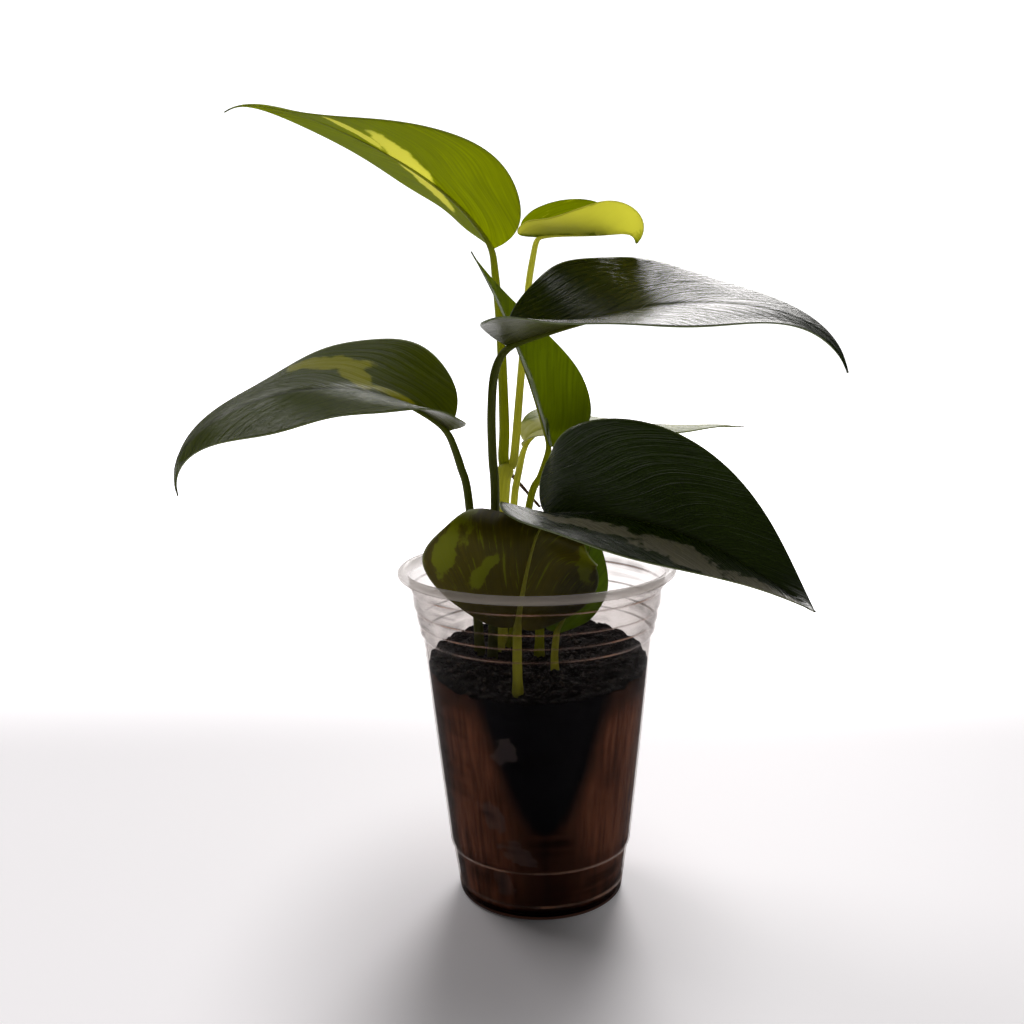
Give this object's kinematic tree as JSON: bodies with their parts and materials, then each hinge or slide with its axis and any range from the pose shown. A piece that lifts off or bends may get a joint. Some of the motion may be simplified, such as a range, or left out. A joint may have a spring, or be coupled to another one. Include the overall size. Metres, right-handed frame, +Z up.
{
  "type": "potted pothos plant",
  "caption": "Golden pothos with glossy heart-shaped leaves, rooted in dark potting soil in a clear plastic drinking cup.",
  "frame": {"origin": "middle of the cup's flat base, on the surface that the cup stands on", "axes": "+Z up along the cup's axis, -Y towards the viewer, +X to the viewer's right"},
  "size_m": [0.21, 0.1137, 0.2697],
  "materials": {
    "clear_plastic": "gloss",
    "potting_soil": "matte",
    "green_stalk": "satin",
    "brown_root": "matte",
    "young_leaf": "satin",
    "dark_leaf": "gloss"
  },
  "bodies": {
    "root": {"cup": "clear_plastic", "soil": "potting_soil", "vine_stem": "green_stalk", "aerial_root": "brown_root", "leaf_top_left": "young_leaf", "leaf_top_small": "young_leaf", "leaf_right": "dark_leaf", "leaf_upright": "dark_leaf", "leaf_left": "dark_leaf", "leaf_front_right": "dark_leaf", "leaf_cup_front": "dark_leaf", "leaf_back_right": "dark_leaf", "leaf_cup_back": "young_leaf", "petiole_top_left": "green_stalk", "petiole_top_small": "green_stalk", "petiole_right": "green_stalk", "petiole_upright": "green_stalk", "petiole_left": "green_stalk", "petiole_front_right": "green_stalk", "petiole_cup_front": "green_stalk", "petiole_back_right": "green_stalk", "petiole_cup_back": "green_stalk"}
  },
  "joints": []
}
